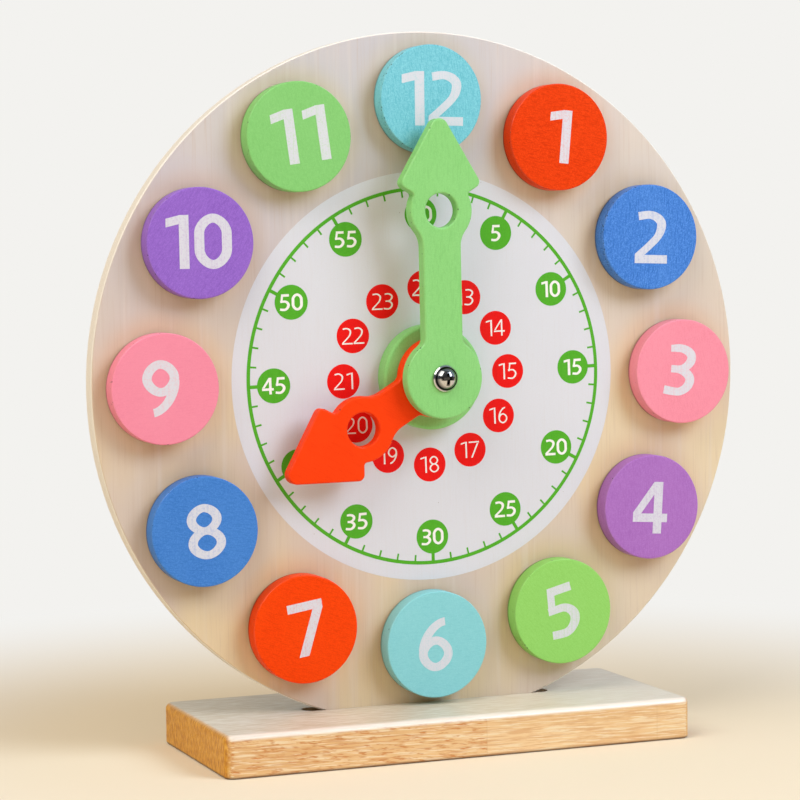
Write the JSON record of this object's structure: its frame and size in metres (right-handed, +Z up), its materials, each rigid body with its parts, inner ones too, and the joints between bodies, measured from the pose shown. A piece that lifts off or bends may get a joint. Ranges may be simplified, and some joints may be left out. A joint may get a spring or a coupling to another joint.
{
  "type": "teaching clock",
  "caption": "Wooden teaching clock: upright round board on a flat stand, two hands that turn on a screw and loose number discs that plug in round the dial.",
  "frame": {"origin": "on the table, under the middle of the stand", "axes": "+Z up, the dial looks along -Y, +X is to the right as the dial is read"},
  "size_m": [0.25, 0.075, 0.2578],
  "materials": {
    "board_plywood": "lacquered birch-type plywood, pale, vertical grain",
    "base_hardwood": "sanded and clear-lacquered finger-jointed rubberwood",
    "spacer_paint": "wood painted light green, satin",
    "hour_paint": "wood painted orange-red, satin",
    "minute_paint": "wood painted light green, satin",
    "screw_steel": "bright plated steel",
    "peg_wood": "bare beech dowel",
    "disc_cyan": "wood painted cyan, satin",
    "disc_orange": "wood painted orange, satin",
    "disc_blue": "wood painted blue, satin",
    "disc_pink": "wood painted pink, satin",
    "disc_purple": "wood painted purple, satin",
    "disc_green": "wood painted green, satin"
  },
  "bodies": {
    "stand": {"board": "board_plywood", "base": "base_hardwood", "hub_spacer": "spacer_paint", "axle_screw": "screw_steel", "back_washer": "screw_steel", "lock_nut": "screw_steel"},
    "hour": {"hour_hand": "hour_paint"},
    "minute": {"minute_hand": "minute_paint"},
    "number_1": {"number_disc_1": "disc_orange", "disc_peg_1": "peg_wood"},
    "number_2": {"number_disc_2": "disc_blue", "disc_peg_2": "peg_wood"},
    "number_3": {"number_disc_3": "disc_pink", "disc_peg_3": "peg_wood"},
    "number_4": {"number_disc_4": "disc_purple", "disc_peg_4": "peg_wood"},
    "number_5": {"number_disc_5": "disc_green", "disc_peg_5": "peg_wood"},
    "number_6": {"number_disc_6": "disc_cyan", "disc_peg_6": "peg_wood"},
    "number_7": {"number_disc_7": "disc_orange", "disc_peg_7": "peg_wood"},
    "number_8": {"number_disc_8": "disc_blue", "disc_peg_8": "peg_wood"},
    "number_9": {"number_disc_9": "disc_pink", "disc_peg_9": "peg_wood"},
    "number_10": {"number_disc_10": "disc_purple", "disc_peg_10": "peg_wood"},
    "number_11": {"number_disc_11": "disc_green", "disc_peg_11": "peg_wood"},
    "number_12": {"number_disc_12": "disc_cyan", "disc_peg_12": "peg_wood"}
  },
  "joints": [
    {"name": "hour_hand_turn", "type": "hinge", "parent": "stand", "child": "hour", "pos_m": [0, -0.0106, 0.1338], "axis": [0, 1, 0], "continuous": true},
    {"name": "minute_hand_turn", "type": "hinge", "parent": "stand", "child": "minute", "pos_m": [0, -0.016, 0.1338], "axis": [0, 1, 0], "continuous": true},
    {"name": "number_1_pull", "type": "slide", "parent": "stand", "child": "number_1", "axis": [0, -1, 0], "range_m": [0, 0.0045]},
    {"name": "number_2_pull", "type": "slide", "parent": "stand", "child": "number_2", "axis": [0, -1, 0], "range_m": [0, 0.0045]},
    {"name": "number_3_pull", "type": "slide", "parent": "stand", "child": "number_3", "axis": [0, -1, 0], "range_m": [0, 0.0045]},
    {"name": "number_4_pull", "type": "slide", "parent": "stand", "child": "number_4", "axis": [0, -1, 0], "range_m": [0, 0.0045]},
    {"name": "number_5_pull", "type": "slide", "parent": "stand", "child": "number_5", "axis": [0, -1, 0], "range_m": [0, 0.0045]},
    {"name": "number_6_pull", "type": "slide", "parent": "stand", "child": "number_6", "axis": [0, -1, 0], "range_m": [0, 0.0045]},
    {"name": "number_7_pull", "type": "slide", "parent": "stand", "child": "number_7", "axis": [0, -1, 0], "range_m": [0, 0.0045]},
    {"name": "number_8_pull", "type": "slide", "parent": "stand", "child": "number_8", "axis": [0, -1, 0], "range_m": [0, 0.0045]},
    {"name": "number_9_pull", "type": "slide", "parent": "stand", "child": "number_9", "axis": [0, -1, 0], "range_m": [0, 0.0045]},
    {"name": "number_10_pull", "type": "slide", "parent": "stand", "child": "number_10", "axis": [0, -1, 0], "range_m": [0, 0.0045]},
    {"name": "number_11_pull", "type": "slide", "parent": "stand", "child": "number_11", "axis": [0, -1, 0], "range_m": [0, 0.0045]},
    {"name": "number_12_pull", "type": "slide", "parent": "stand", "child": "number_12", "axis": [0, -1, 0], "range_m": [0, 0.0045]}
  ]
}
